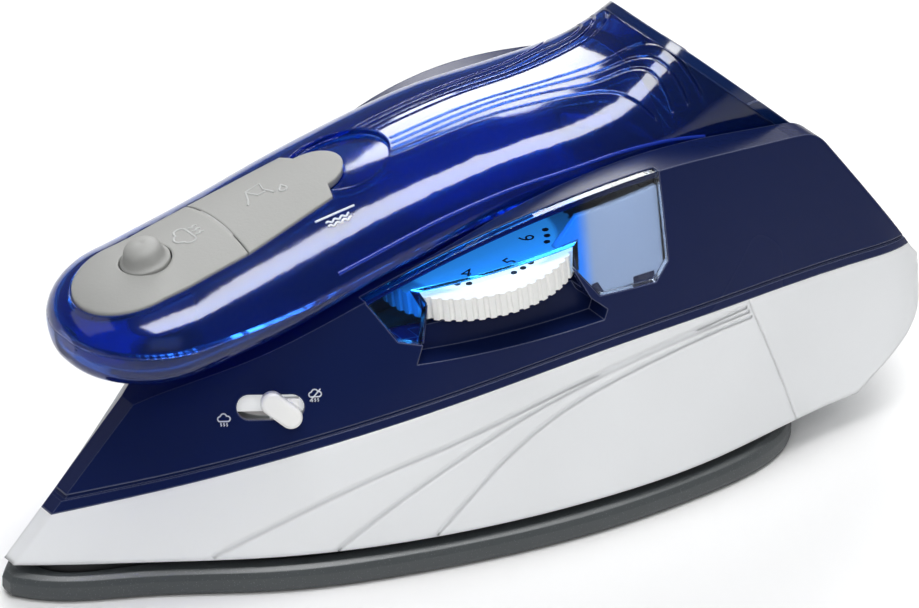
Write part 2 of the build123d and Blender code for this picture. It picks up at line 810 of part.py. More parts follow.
# Steam slider: knob outside the slot, carriage plate inside it, and a forked ramp under the needle's head
slot_plane = Plane(origin=slot_centre, x_dir=slot_along, z_dir=slot_outward)
fork_plane = Plane(origin=slot_centre, x_dir=slot_along, z_dir=(0, 0, 1))
ramp_plane = Plane(origin=slot_centre, x_dir=slot_along, z_dir=(-slot_inward[0], -slot_inward[1], 0))
needle_reach = (valve_x - slot_centre[0], valve_y - slot_centre[1])
needle_along = needle_reach[0] * slot_along[0] + needle_reach[1] * slot_along[1]
needle_inward = needle_reach[0] * slot_inward[0] + needle_reach[1] * slot_inward[1]
ramp_end = ramp_start + ramp_length
ramp_rise = ramp_slope * ramp_length
fork_near = needle_inward - fork_half_width
with BuildPart() as steam_slider:
    with BuildSketch(slot_plane.offset(-carriage_depth)):
        with Locations(carriage_middle):
            Rectangle(carriage_length, carriage_width)
    extrude(amount=carriage_thickness)
    with BuildSketch(slot_plane.offset(-carriage_depth)):
        with Locations((neck_along, 0)):
            Rectangle(neck_size[0], neck_size[1])
    extrude(amount=carriage_depth + knob_lift)
    with BuildSketch(slot_plane.offset(knob_lift)):
        with Locations(knob_place):
            SlotOverall(knob_length, knob_width, rotation=knob_turn)
    extrude(amount=knob_height)
    fillet(steam_slider.faces().sort_by(Axis(slot_centre, slot_outward))[-1].edges(), radius=knob_edge)
    with BuildSketch(ramp_plane.offset(-needle_inward - fork_half_width)):
        Polygon(
            (ramp_start, fork_low - slot_centre[2]),
            (ramp_end, fork_low - slot_centre[2]),
            (ramp_end, ramp_low + ramp_rise - slot_centre[2]),
            (ramp_start, ramp_low - slot_centre[2]),
            align=None,
        )
    extrude(amount=2 * fork_half_width)
    with BuildSketch(fork_plane):
        with Locations((needle_along - needle_radius - 1, needle_inward)):
            Rectangle(2 * ramp_length, 2 * fork_slot_half, align=(Align.MIN, Align.CENTER))
    extrude(amount=ramp_length, both=True, mode=Mode.SUBTRACT)
    with BuildSketch(fork_plane.offset(ramp_low - slot_centre[2])):
        with Locations((0, carriage_depth - arm_overlap[0])):
            arm_length = fork_near - carriage_depth + sum(arm_overlap)
            Rectangle(arm_width, arm_length, align=(Align.MIN, Align.MIN))
    extrude(amount=arm_thickness)
write(steam_slider, "steam_slider")

# Screws that pull the skirt and the rear cover up against the top housing
with BuildPart() as housing_screws:
    for x, y, head_low, tip in housing_screw_places:
        add(screw(x, y, head_low, tip))
write(housing_screws, "housing_screws")

with BuildPart() as rear_cover_screws:
    for side in (-1, 1):
        add(screw(rear_post_x, side * rear_post_y, rear_head_low, rear_screw_tip))
write(rear_cover_screws, "rear_cover_screws")

# Shell below the parting line, and the three shallow grooves on either side of the skirt
with BuildPart() as lower_shell:
    add(outer_body)
    add(inner_body, mode=Mode.SUBTRACT)
    add(below_parting, mode=Mode.INTERSECT)

with BuildPart() as skirt_grooves:
    for points in groove_lines:
        with BuildSketch(Plane.XZ) as ribbon:
            with BuildLine():
                Spline(*points)
            trace(line_width=groove_width)
        extrude(amount=far, both=True)
    add(wall_block(skin_groove_depth), mode=Mode.SUBTRACT)

with BuildPart() as skirt:
    add(lower_shell.part)
    add(behind_joint, mode=Mode.SUBTRACT)
    for x, y, head_low, tip in housing_screw_places:
        post = upright(x, y, head_low + small_head_height, housing_top, post_radius)
        add(post & skin_body & below_parting)
    bulkhead = cuboid(
        (front_post_x - front_web_half, -far, front_web_low),
        (front_post_x + front_web_half, far, parting_level),
    )
    add(bulkhead & skin_body & below_parting)
    add(housing_screws.part, mode=Mode.SUBTRACT)
    add(skirt_grooves.part, mode=Mode.SUBTRACT)
write(skirt, "skirt")

# Rear cover with its floor behind the soleplate, screw posts and the ribs that carry the terminal block
with BuildPart() as rear_cover:
    add(lower_shell.part)
    add(cuboid((rear_joint_top[0], -far, skirt_bottom), (2 * far, far, skirt_bottom + wall)) & skin_body)
    sole_room = plan_face(sole_outline, 0, shield_inset - shield_gap)
    extrude(sole_room, amount=2 * shield_top, mode=Mode.SUBTRACT)
    for side in (-1, 1):
        post = upright(rear_post_x, side * rear_post_y, skirt_bottom, rear_screw_tip, post_radius)
        add(post & skin_body & below_parting)
        rib_top = block_centre[2] - block_size[2] / 2
        rib = cuboid(
            (block_centre[0] - rib_half_length, side * rib_y - rib_half_width, 0),
            (block_centre[0] + rib_half_length, side * rib_y + rib_half_width, rib_top),
        )
        add(rib & skin_body)
        counterbore = upright(rear_post_x, side * rear_post_y, 0, rear_head_low, small_head_radius + fit)
        add(counterbore, mode=Mode.SUBTRACT)
    add(rear_cover_screws.part, mode=Mode.SUBTRACT)
    add(behind_joint, mode=Mode.INTERSECT)
write(rear_cover, "rear_cover")

# Hinge pins; the right one is hollow and lets the water through to the hose
with BuildPart() as hinge_pin_left:
    add(pivot_bar(-pin_outer_end, -pin_inner_end, pin_radius))
write(hinge_pin_left, "hinge_pin_left")

seal_end = seal_place + pin_seal_width
seal_groove = pivot_bar(seal_place, seal_end, 2 * pin_radius)
seal_core = pivot_bar(seal_place - 1, seal_end + 1, pin_radius - pin_seal_depth)
mouth_end = (pivot_x, hose_y, pivot_z - boss_radius - wall)
hose_mouth = bar_between((pivot_x, hose_y, pivot_z), mouth_end, hose_bore)
with BuildPart() as hinge_pin_right:
    add(pivot_bar(pin_inner_end, pin_outer_end, pin_radius))
    add(pivot_bar(pin_inner_end, hose_y, water_bore_radius), mode=Mode.SUBTRACT)
    add(hose_mouth, mode=Mode.SUBTRACT)
    add(seal_groove - seal_core, mode=Mode.SUBTRACT)
write(hinge_pin_right, "hinge_pin_right")

with BuildPart() as hinge_seal:
    add(pivot_bar(seal_place, seal_end, pin_radius + pin_seal_squeeze))
    add(seal_core, mode=Mode.SUBTRACT)
write(hinge_seal, "hinge_seal")

with BuildPart() as hinge_washers:
    for start in (barrel_half_width, -drum_half_width):
        low = start + washer_play
        high = start + trough_gap - washer_play
        add(pivot_bar(low, high, boss_radius) - pivot_bar(low, high, pin_radius + washer_play))
write(hinge_washers, "hinge_washers")

# Top housing: shell above the parting line with the handle's trough, the cheeks and the saddle
slope_turn = math.radians(gland_rise)
gland_plane = Plane(
    origin=(gland_x, 0, gland_z),
    x_dir=(0, 1, 0),
    z_dir=(math.cos(slope_turn), 0, math.sin(slope_turn)),
)
with BuildPart() as gland_hole:
    with BuildSketch(gland_plane):
        Circle(gland_radius + snug)
    extrude(amount=gland_length, both=True)
    with BuildSketch(gland_plane):
        Circle(gland_flange_radius + fit)
    extrude(amount=gland_length)

with BuildPart() as slider_slot:
    with BuildSketch(slot_plane):
        SlotOverall(slot_length, slot_width)
    extrude(amount=slot_length / 2, both=True)
    with BuildSketch(slot_plane.offset(-carriage_depth - carriage_play)):
        with Locations((carriage_middle[0] - slide_travel / 2, carriage_middle[1])):
            run_length = carriage_length + slide_travel + 2 * carriage_play
            Rectangle(run_length, carriage_width + 2 * carriage_play)
    extrude(amount=carriage_thickness + 2 * carriage_play)

window_opening = side_prism(window_corners, near_only=True) - wall_block(wall + fit)
scoop_opening = side_prism(scoop_corners, near_only=True) - wall_block(scoop_depth)
scoop_layer = wall_block(skin_depth) - wall_block(scoop_depth + scoop_back)
scoop_shell = side_prism(scoop_back_corners, near_only=True) & scoop_layer
flange_top = under_curve(parting_line, flange_height + flange_groove)
flange_line = flange_top - under_curve(parting_line, flange_height)

with BuildPart() as upper_housing:
    add(outer_body)
    add(below_parting, mode=Mode.SUBTRACT)
    add(cavity.part, mode=Mode.SUBTRACT)
    add(handle_block(trough_gap), mode=Mode.SUBTRACT)
    add(pivot_drum(barrel_radius + saddle_gap, drum_half_width), mode=Mode.SUBTRACT)
    add(rear_gap, mode=Mode.SUBTRACT)
    add(scoop_shell)
    for side in (-1, 1):
        boss = pivot_bar(side * (drum_half_width + fit), side * boss_end, boss_radius)
        add(boss & skin_body)
        add(pivot_bar(side * barrel_half_width, side * pin_outer_end, pin_radius), mode=Mode.SUBTRACT)
        post_top = rear_gap_bottom - skin_depth
        post = upright(rear_post_x, side * rear_post_y, rear_head_low, post_top, post_radius)
        add((post & skin_body) - below_parting)
    for x, y, head_low, tip in housing_screw_places:
        post = upright(x, y, head_low, tip + 2 * post_radius, post_radius)
        add((post & skin_body) - below_parting)
    add(cuboid(lamp_shelf_low, lamp_shelf_high) & skin_body)
    add(housing_screws.part, mode=Mode.SUBTRACT)
    add(rear_cover_screws.part, mode=Mode.SUBTRACT)
    add(hose_mouth, mode=Mode.SUBTRACT)
    add(window_opening, mode=Mode.SUBTRACT)
    add(scoop_opening, mode=Mode.SUBTRACT)
    add(dial_space.part, mode=Mode.SUBTRACT)
    add(slider_slot.part, mode=Mode.SUBTRACT)
    add(gland_hole.part, mode=Mode.SUBTRACT)
    add(flange_line - wall_block(skin_groove_depth), mode=Mode.SUBTRACT)
write(upper_housing, "upper_housing")

# Window over the dial, the white plate behind its right end and the lamp that lights it
with BuildPart() as dial_window:
    add(outer_body - wall_block(window_thickness))
    add(side_prism(window_corners, near_only=True, grow=-fit), mode=Mode.INTERSECT)
    add(dial_space.part, mode=Mode.SUBTRACT)
write(dial_window, "dial_window")

with BuildPart() as lamp_diffuser:
    add(side_prism(diffuser_corners, near_only=True))
    add(wall_block(diffuser_depth[0]) - wall_block(diffuser_depth[1]), mode=Mode.INTERSECT)
    add(cavity.part, mode=Mode.INTERSECT)
    add(dial_space.part, mode=Mode.SUBTRACT)
    add(cuboid(lamp_shelf_low, lamp_shelf_high), mode=Mode.SUBTRACT)
    add(scoop_shell, mode=Mode.SUBTRACT)
write(lamp_diffuser, "lamp_diffuser")

with BuildPart() as pilot_lamp:
    lamp_end = (lamp_place[0] + lamp_length, lamp_place[1], lamp_place[2])
    add(bar_between(lamp_place, lamp_end, lamp_radius))
write(pilot_lamp, "pilot_lamp")

# Cord gland, terminal block, hose and inner leads
with BuildPart() as cord_gland:
    with BuildSketch(gland_plane.offset(-gland_length + gland_flange)):
        Circle(gland_radius)
    extrude(amount=gland_length)
    with BuildSketch(gland_plane):
        Circle(gland_flange_radius)
    extrude(amount=gland_flange)
    with BuildSketch(gland_plane):
        Circle(gland_bore)
    extrude(amount=2 * gland_length, both=True, mode=Mode.SUBTRACT)
write(cord_gland, "cord_gland")

with BuildPart() as terminal_block:
    low = [middle - size / 2 for middle, size in zip(block_centre, block_size)]
    high = [middle + size / 2 for middle, size in zip(block_centre, block_size)]
    add(cuboid(low, high))
    for y in block_hole_places:
        add(upright(block_centre[0], y, block_centre[2], high[2], block_hole_radius), mode=Mode.SUBTRACT)
write(terminal_block, "terminal_block")

with BuildPart() as water_hose:
    add(round_tube(hose_path, hose_radius, hose_bend, hose_bore))
write(water_hose, "water_hose")

for name, path in lead_paths.items():
    with BuildPart() as lead:
        add(round_tube(path, lead_radius, lead_bend))
    write(lead, name)

# Handle: upper and lower tank halves, split along the seam, and the plate on its rear end
tank_hollow = handle_block(-tank_wall)
tank_space = tank_hollow & cuboid((-2 * far, -far, 0), (tank_end, far, 2 * far))
rear_space = tank_hollow & cuboid((tank_end + bulkhead_thickness, -far, 0), (2 * far, far, 2 * far))
plate_inner = behind_end_plane(end_plane_distance - end_plate_thickness)
plate_outer = behind_end_plane(end_plane_distance)
button_turn = math.radians(button_lean)
button_plane = Plane(
    origin=(button_x, 0, button_z),
    x_dir=(math.cos(button_turn), 0, math.sin(button_turn)),
    z_dir=(-math.sin(button_turn), 0, math.cos(button_turn)),
)


def button_bar(low, high, radius):
    """A round bar on the button's axis, between two heights above the pad's top."""
    with BuildPart() as bar:
        with BuildSketch(button_plane.offset(low)):
            Circle(radius)
        extrude(amount=high - low)
    return bar.part


with BuildPart() as filler_hole:
    with BuildSketch(Plane.XY.offset(filler_low)):
        with Locations((filler_x, 0)):
            RectangleRounded(filler_size[0], filler_size[1], filler_corner)
    extrude(amount=far)

with BuildPart() as tab_scoop:
    with BuildSketch():
        with Locations((tab_scoop_x, 0)):
            Ellipse(tab_scoop_size[0], tab_scoop_size[1])
    extrude(amount=2 * far)
    add(handle_block(-tab_scoop_depth), mode=Mode.SUBTRACT)

with BuildPart() as grip_grooves:
    for points in grip_groove_lines:
        for side in (-1, 1):
            with BuildSketch(Plane.XY.offset(grip_groove_low)):
                with BuildLine():
                    Spline(*[(x, side * y) for x, y in points])
                trace(line_width=grip_groove_width)
            extrude(amount=far)
    add(handle_block(-grip_groove_depth), mode=Mode.SUBTRACT)

with BuildPart() as tank_upper:
    add(handle_outer)
    add(below_seam, mode=Mode.SUBTRACT)
    add(tank_space, mode=Mode.SUBTRACT)
    add(rear_space, mode=Mode.SUBTRACT)
    add(plate_inner, mode=Mode.SUBTRACT)
    add(pad_prism(pad_gap) - handle_block(-pad_thickness), mode=Mode.SUBTRACT)
    add(tab_scoop.part, mode=Mode.SUBTRACT)
    add(grip_grooves.part, mode=Mode.SUBTRACT)
    add(filler_hole.part, mode=Mode.SUBTRACT)
    add(button_bar(-pump_depth, pump_depth, button_radius + button_gap), mode=Mode.SUBTRACT)
write(tank_upper, "tank_upper")

passage_start = Vector(tank_end - 3, 0, passage_z)
passage = (Vector(pivot_x, 0, pivot_z) - passage_start).normalized()
tube_ends = [tuple(passage_start + passage * reach) for reach in outlet_reach]
with BuildPart() as tank_lower:
    add(handle_outer & below_seam)
    add(pivot_drum(barrel_radius, barrel_half_width) & below_seam)
    add(tank_space, mode=Mode.SUBTRACT)
    add(plate_inner, mode=Mode.SUBTRACT)
    for side in (-1, 1):
        bore = pivot_bar(side * (pin_inner_end - skin_depth), side * boss_end, pin_radius + pin_clearance)
        add(bore, mode=Mode.SUBTRACT)
    add(pivot_bar(-water_bore_radius, pin_inner_end, water_bore_radius), mode=Mode.SUBTRACT)
    add(bar_between(tube_ends[0], (pivot_x, 0, pivot_z), passage_radius), mode=Mode.SUBTRACT)
write(tank_lower, "tank_lower")

with BuildPart() as handle_end_plate:
    add(handle_outer)
    add(pivot_drum(barrel_radius, barrel_half_width))
    add(plate_inner - plate_outer, mode=Mode.INTERSECT)
write(handle_end_plate, "handle_end_plate")

with BuildPart() as outlet_tube:
    add(bar_between(*tube_ends, passage_radius - snug))
    add(bar_between(*tube_ends, passage_radius - outlet_wall), mode=Mode.SUBTRACT)
write(outlet_tube, "outlet_tube")

# Grey pad in the handle's nose: fixed front half round the button, and the rear half that lifts
flap_side = cuboid((flap_line, -far, 0), (far, far, 2 * far))
flap_room = cuboid((flap_line - flap_gap, -far, 0), (far, far, 2 * far))
pad_skin = handle_block(pad_proud)
with BuildPart() as button_pad:
    add(pad_prism(0) & pad_skin)
    add(handle_block(-pad_thickness), mode=Mode.SUBTRACT)
    add(below_seam, mode=Mode.SUBTRACT)
    add(flap_room, mode=Mode.SUBTRACT)
    add(button_bar(-pump_depth, pump_depth, button_radius + button_gap), mode=Mode.SUBTRACT)
write(button_pad, "button_pad")

with BuildPart() as filler_flap:
    add(pad_prism(0) & pad_skin)
    add(handle_block(-pad_thickness + pad_gap), mode=Mode.SUBTRACT)
    add(below_seam, mode=Mode.SUBTRACT)
    add(flap_side, mode=Mode.INTERSECT)
write(filler_flap, "filler_flap")

with BuildPart() as filler_plug:
    with BuildSketch(Plane.XY.offset(filler_low)):
        with Locations((filler_x - plug_forward, 0)):
            plug_size = [size - play for size, play in zip(filler_size, plug_play)]
            RectangleRounded(plug_size[0], plug_size[1], filler_corner - skin_depth)
    extrude(amount=far)
    add(handle_block(-pad_thickness + pad_gap), mode=Mode.INTERSECT)
    add(handle_block(-pad_thickness - plug_depth), mode=Mode.SUBTRACT)
write(filler_plug, "filler_plug")

# Steam button with its piston, and the small pump under it
with BuildPart() as steam_button:
    with BuildSketch(Plane(origin=button_plane.origin, x_dir=button_plane.x_dir, z_dir=(0, -1, 0))):
        with BuildLine():
            Polyline(
                (0, button_crown),
                (0, -button_skirt),
                (button_radius, -button_skirt),
                button_profile[0],
            )
            Spline(*button_profile, (0, button_crown))
        make_face()
    revolve(axis=Axis(button_plane.origin, button_plane.z_dir))
write(steam_button, "steam_button")

with BuildPart() as pump_piston:
    add(button_bar(-piston_reach, -piston_top, piston_radius))
    add(button_bar(-piston_top, -button_skirt, piston_neck_radius))
write(pump_piston, "pump_piston")

with BuildPart() as pump_cylinder:
    add(button_bar(-pump_depth, pump_top, pump_radius))
    add(handle_outer - tank_hollow, mode=Mode.SUBTRACT)
    add(button_bar(-pump_pocket, 0, button_radius + button_gap), mode=Mode.SUBTRACT)
    add(button_bar(-pump_bore_end, 0, piston_radius + snug), mode=Mode.SUBTRACT)
    add(button_bar(-pump_depth, 0, pump_outlet_radius), mode=Mode.SUBTRACT)
write(pump_cylinder, "pump_cylinder")

with BuildPart() as pump_spring:
    with BuildLine() as coil:
        Helix(
            pitch=spring_pitch,
            height=pump_pocket - button_skirt - 2 * (spring_wire + spring_play),
            radius=spring_radius,
            center=button_plane.origin - button_plane.z_dir * (pump_pocket - spring_wire - spring_play),
            direction=button_plane.z_dir,
        )
    with BuildSketch(Plane(origin=coil.line @ 0, z_dir=coil.line % 0)):
        Circle(spring_wire)
    sweep(path=coil.line)
write(pump_spring, "pump_spring")

with BuildPart() as pump_valve:
    add(button_bar(-pump_depth - pump_valve_thickness, -pump_depth, pump_valve_radius))
write(pump_valve, "pump_valve")
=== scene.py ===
import math

import bpy
from mathutils import Matrix, Vector


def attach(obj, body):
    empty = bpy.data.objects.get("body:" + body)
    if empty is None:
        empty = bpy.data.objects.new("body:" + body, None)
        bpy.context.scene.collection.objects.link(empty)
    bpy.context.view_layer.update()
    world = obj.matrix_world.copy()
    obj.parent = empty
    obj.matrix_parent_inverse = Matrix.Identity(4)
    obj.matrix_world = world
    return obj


bl_info = {
    "name": "Travel Steam Iron",
    "version": (1, 0, 0),
    "blender": (4, 5, 0),
    "location": "3D View > Sidebar > Travel Iron",
    "description": "Finishes, printed marks and studio of a folded travel steam iron",
    "category": "Object",
}

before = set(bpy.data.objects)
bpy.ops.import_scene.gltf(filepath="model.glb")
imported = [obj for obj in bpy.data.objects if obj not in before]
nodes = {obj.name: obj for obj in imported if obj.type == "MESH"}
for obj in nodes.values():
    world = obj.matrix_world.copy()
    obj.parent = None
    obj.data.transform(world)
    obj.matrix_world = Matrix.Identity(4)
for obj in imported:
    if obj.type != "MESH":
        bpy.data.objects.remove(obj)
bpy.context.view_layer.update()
MM = 0.001

DIAL_CENTRE = Vector((-5.1, -16.5, 50.97)) * MM
DIAL_LEAN = math.radians(8)
DIAL_AXIS = Vector((-math.sin(DIAL_LEAN), 0, math.cos(DIAL_LEAN)))
DIAL_FACE = 5.5 * MM
DIAL_GLOW_RING = 15.5 * MM
NUMBER_RING = 10.4 * MM
NUMBER_SIZE = 4.4 * MM
DOT_RING = 14.2 * MM
DOT_RADIUS = 0.65 * MM
FIRST_NUMBER_TURN = 30
NUMBER_TURN = 50
DOT_TURN = 9
SLOT_CENTRE = Vector((-52.8, -19.2, 35.6)) * MM
SLOT_INWARD = Vector((0.465, 0.824, -0.323))
SLOT_ALONG = (0.8709, -0.4915, 0.02)
KNOB_DEPTH = 2 * MM
WEB_X = -52.75
WEB_HALF_LENGTH = 5.8
WEB_RADIUS = 0.26 * MM

STEAM_SIGN_UNIT = 1.25
LEVEL_MARK_UNIT = 4.2
PAD_SIGN_UNIT = 3.1
JUG_SIGN_UNIT = 4.2
PRINT_LIFT = 0.02 * MM
PRINT_THICKNESS = 0.04 * MM
EMBOSS_SINK = 0.08 * MM
BEAD_SINK = 0.15 * MM
PROBE_HEIGHT = 6 * MM
CLEAR_GRAIN = 0.002 * MM

# Name, place, aim, size, watts, and whether it lights matt faces or only shows in gloss
LIGHTS = (
    ("key_light", (-0.75, -1.2, 1.1), (0, 0, 0.05), (1.0, 1.0), 12, "matt"),
    ("top_light", (0.05, -0.1, 0.9), (0.05, -0.1, 0), (0.9, 0.5), 6, "matt"),
    ("rear_light", (0.5, 1.3, 0.9), (0, 0, 0.05), (1.4, 0.8), 14, "matt"),
    ("strip_card", (0.05, -0.1, 0.84), (0.05, -0.1, 0), (0.86, 0.26), 11, "gloss"),
    ("rear_card", (0.72, 0.96, 1.0), (0, 0, 0.07), (0.74, 0.6), 17, "gloss"),
    ("side_card", (-0.9, 0.8, 0.95), (0, 0, 0.07), (0.9, 0.8), 2.2, "gloss"),
)
CAMERA_TARGET = Vector((2.06, 0, 34.09)) * MM
SENSOR_WIDTH = 36
FLOOR_DROP = 0.2 * MM

# Name, colour, roughness, share of metal, and the solid parts that have the finish
INNER_FINISHES = (
    ("steel", (0.6, 0.6, 0.6), 0.28, 1.0,
     ("chamber_screws", "sole_screws", "housing_screws", "rear_cover_screws", "hinge_pin_left",
      "hinge_pin_right", "pump_spring", "thermostat_shaft")),
    ("heater_steel", (0.32, 0.31, 0.3), 0.4, 1.0, ("heating_element",)),
    ("aluminium_sheet", (0.7, 0.71, 0.72), 0.35, 1.0, ("steam_chamber_cover",)),
    ("brass", (0.75, 0.58, 0.25), 0.3, 1.0, ("thermostat_blades", "valve_needle")),
    ("ceramic", (0.82, 0.78, 0.7), 0.7, 0.0, ("thermostat_base", "thermal_fuse", "terminal_block")),
    ("silicone", (0.62, 0.22, 0.16), 0.6, 0.0,
     ("steam_chamber_gasket", "valve_seal", "hinge_seal", "filler_plug")),
    ("hose_rubber", (0.75, 0.76, 0.76), 0.5, 0.0, ("water_hose", "outlet_tube")),
    ("black_rubber", (0.015, 0.015, 0.016), 0.6, 0.0, ("cord_gland", "pump_valve")),
    ("inner_white", (0.7, 0.72, 0.72), 0.5, 0.0,
     ("valve_body", "pump_cylinder", "pump_piston", "hinge_washers")),
    ("wire_brown", (0.16, 0.07, 0.03), 0.5, 0.0, ("live_wire", "heater_wire", "fuse_wire")),
    ("wire_blue", (0.03, 0.1, 0.4), 0.5, 0.0, ("neutral_wire",)),
    ("wire_green", (0.2, 0.45, 0.05), 0.5, 0.0, ("earth_wire",)),
)


def colour_prop(name, description, default):
    return bpy.props.FloatVectorProperty(
        name=name, description=description, subtype="COLOR", size=3, min=0, max=1, default=default)


def length_prop(name, description, default):
    return bpy.props.FloatProperty(
        name=name, description=description, unit="LENGTH", min=0, default=default)


def angle_prop(name, description, degrees):
    return bpy.props.FloatProperty(
        name=name, description=description, subtype="ANGLE", default=math.radians(degrees))


class IronColours(bpy.types.PropertyGroup):
    """Colours of the iron's finishes"""
    navy: colour_prop("Navy", "Top housing's moulded plastic", (0.0058, 0.0125, 0.064))
    white: colour_prop("White", "Skirt and rear cover", (0.84, 0.855, 0.87))
    tank: colour_prop("Tank blue", "Clear plastic of the handle", (0.011, 0.070, 0.38))
    window: colour_prop("Window blue", "Clear plastic over the dial", (0.03, 0.34, 1.0))
    window_clear: colour_prop("Clear window", "The window's end over the lamp", (0.41, 0.49, 0.62))
    sole: colour_prop("Sole grey", "Coating of the soleplate", (0.060, 0.068, 0.072))
    pad: colour_prop("Pad grey", "Rubber of the pad, flap and button", (0.32, 0.322, 0.312))
    control: colour_prop("Control white", "Dial and slider", (0.90, 0.90, 0.88))
    light_print: colour_prop("Light print", "Marks on the housing and the tank", (0.82, 0.85, 0.92))
    dark_print: colour_prop("Dark print", "Marks on the dial", (0.004, 0.005, 0.012))


class IronSizes(bpy.types.PropertyGroup):
    """Sizes of the small pieces"""
    icon_line: length_prop("Icon line", "Half width of the lines in the printed signs", 0.14 * MM)
    emboss_line: length_prop("Embossed line", "Half width of the raised lines on the pad", 0.28 * MM)
    level_line: length_prop("Level line", "Half width of the level mark", 0.24 * MM)
    bead: length_prop("Bead", "Half width of the bead along the tank's flanks", 0.45 * MM)
    soft_edge: length_prop("Soft edge", "Radius that rounds moulded edges in the shading", 0.45 * MM)


class IronStudio(bpy.types.PropertyGroup):
    """Camera and lights"""
    azimuth: angle_prop("Azimuth", "Direction the camera stands in", -33)
    elevation: angle_prop("Elevation", "Height of the camera's view", 27.5)
    roll: angle_prop("Roll", "Tilt of the picture", 0.5)
    distance: length_prop("Distance", "From the camera to the middle of the iron", 1.6)
    lens: bpy.props.FloatProperty(
        name="Lens", description="Focal length", subtype="DISTANCE_CAMERA", default=323.0)
    light: bpy.props.FloatProperty(
        name="Light", description="Share of the full light", min=0, default=1.0)


# Node helpers

def put(tree, socket, value):
    """Links a socket to another one, or sets its constant."""
    if isinstance(value, bpy.types.NodeSocket):
        tree.links.new(value, socket)
    else:
        socket.default_value = value


def add_node(tree, kind, inputs=None, **settings):
    made = tree.nodes.new(kind)
    for name, value in settings.items():
        setattr(made, name, value)
    for name, value in (inputs or {}).items():
        put(tree, made.inputs[name], value)
    return made


def blend_colour(tree, factor, first, second, mode="MIX"):
    made = add_node(tree, "ShaderNodeMix", data_type="RGBA", blend_type=mode)
    for index, value in ((0, factor), (6, first), (7, second)):
        if not isinstance(value, (bpy.types.NodeSocket, float, int)):
            value = (*value[:3], 1)
        put(tree, made.inputs[index], value)
    return made.outputs[2]


def spread(tree, value, low, high, to_low, to_high):
    made = add_node(tree, "ShaderNodeMapRange", {
        "Value": value, "From Min": low, "From Max": high, "To Min": to_low, "To Max": to_high})
    return made.outputs["Result"]


def new_group(name, inputs, outputs):
    tree = bpy.data.node_groups.new(name, "ShaderNodeTree")
    for socket, default in inputs.items():
        made = tree.interface.new_socket(socket, in_out="INPUT", socket_type="NodeSocketFloat")
        made.default_value = default
    for socket, kind in outputs.items():
        tree.interface.new_socket(socket, in_out="OUTPUT", socket_type=kind)
    return tree, tree.nodes.new("NodeGroupInput").outputs, tree.nodes.new("NodeGroupOutput").inputs


def make_grain_group():
    """Fine mould texture and slow drift of tone, on the piece's own coordinates."""
    tree, given, result = new_group(
        "Moulded Grain", {"Scale": 900.0, "Drift": 18.0},
        {"Height": "NodeSocketFloat", "Tone": "NodeSocketFloat", "Sheen": "NodeSocketFloat"})
    place = add_node(tree, "ShaderNodeTexCoord").outputs["Object"]
    fine = add_node(tree, "ShaderNodeTexNoise", {
        "Vector": place, "Scale": given["Scale"], "Detail": 3.0, "Roughness": 0.6})
    slow = add_node(tree, "ShaderNodeTexNoise", {
        "Vector": place, "Scale": given["Drift"], "Detail": 2.0, "Roughness": 0.5})
    put(tree, result["Height"], fine.outputs["Fac"])
    put(tree, result["Tone"], spread(tree, slow.outputs["Fac"], 0.3, 0.7, 0.95, 1.04))
    put(tree, result["Sheen"], spread(tree, slow.outputs["Fac"], 0.3, 0.7, -0.02, 0.03))
    return tree


def make_edge_group():
    """Rounded shading along moulded edges, with a mask of where they are."""
    tree, given, result = new_group(
        "Soft Edge", {"Radius": 0.0004}, {"Normal": "NodeSocketVector", "Mask": "NodeSocketFloat"})
    bevel = add_node(tree, "ShaderNodeBevel", {"Radius": given["Radius"]}, samples=6)
    true_normal = add_node(tree, "ShaderNodeNewGeometry").outputs["Normal"]
    dot = add_node(tree, "ShaderNodeVectorMath", operation="DOT_PRODUCT")
    put(tree, dot.inputs[0], bevel.outputs["Normal"])
    put(tree, dot.inputs[1], true_normal)
    put(tree, result["Normal"], bevel.outputs["Normal"])
    put(tree, result["Mask"], spread(tree, dot.outputs["Value"], 0.99, 0.80, 0.0, 1.0))
    return tree


def make_dust_group():
    """Sparse specks, for dust on gloss and flakes in a coat."""
    tree, given, result = new_group(
        "Specks", {"Scale": 1500.0, "Share": 0.12}, {"Mask": "NodeSocketFloat"})
    place = add_node(tree, "ShaderNodeTexCoord").outputs["Object"]
    cells = add_node(tree, "ShaderNodeTexVoronoi", {"Vector": place, "Scale": given["Scale"]})
    edge = add_node(tree, "ShaderNodeMath", operation="LESS_THAN")
    put(tree, edge.inputs[0], cells.outputs["Distance"])
    put(tree, edge.inputs[1], given["Share"])
    put(tree, result["Mask"], edge.outputs["Value"])
    return tree


GROUPS = {}


def group_node(tree, name, **inputs):
    made = tree.nodes.new("ShaderNodeGroup")
    made.node_tree = GROUPS[name]
    for socket, value in inputs.items():
        put(tree, made.inputs[socket], value)
    return made.outputs


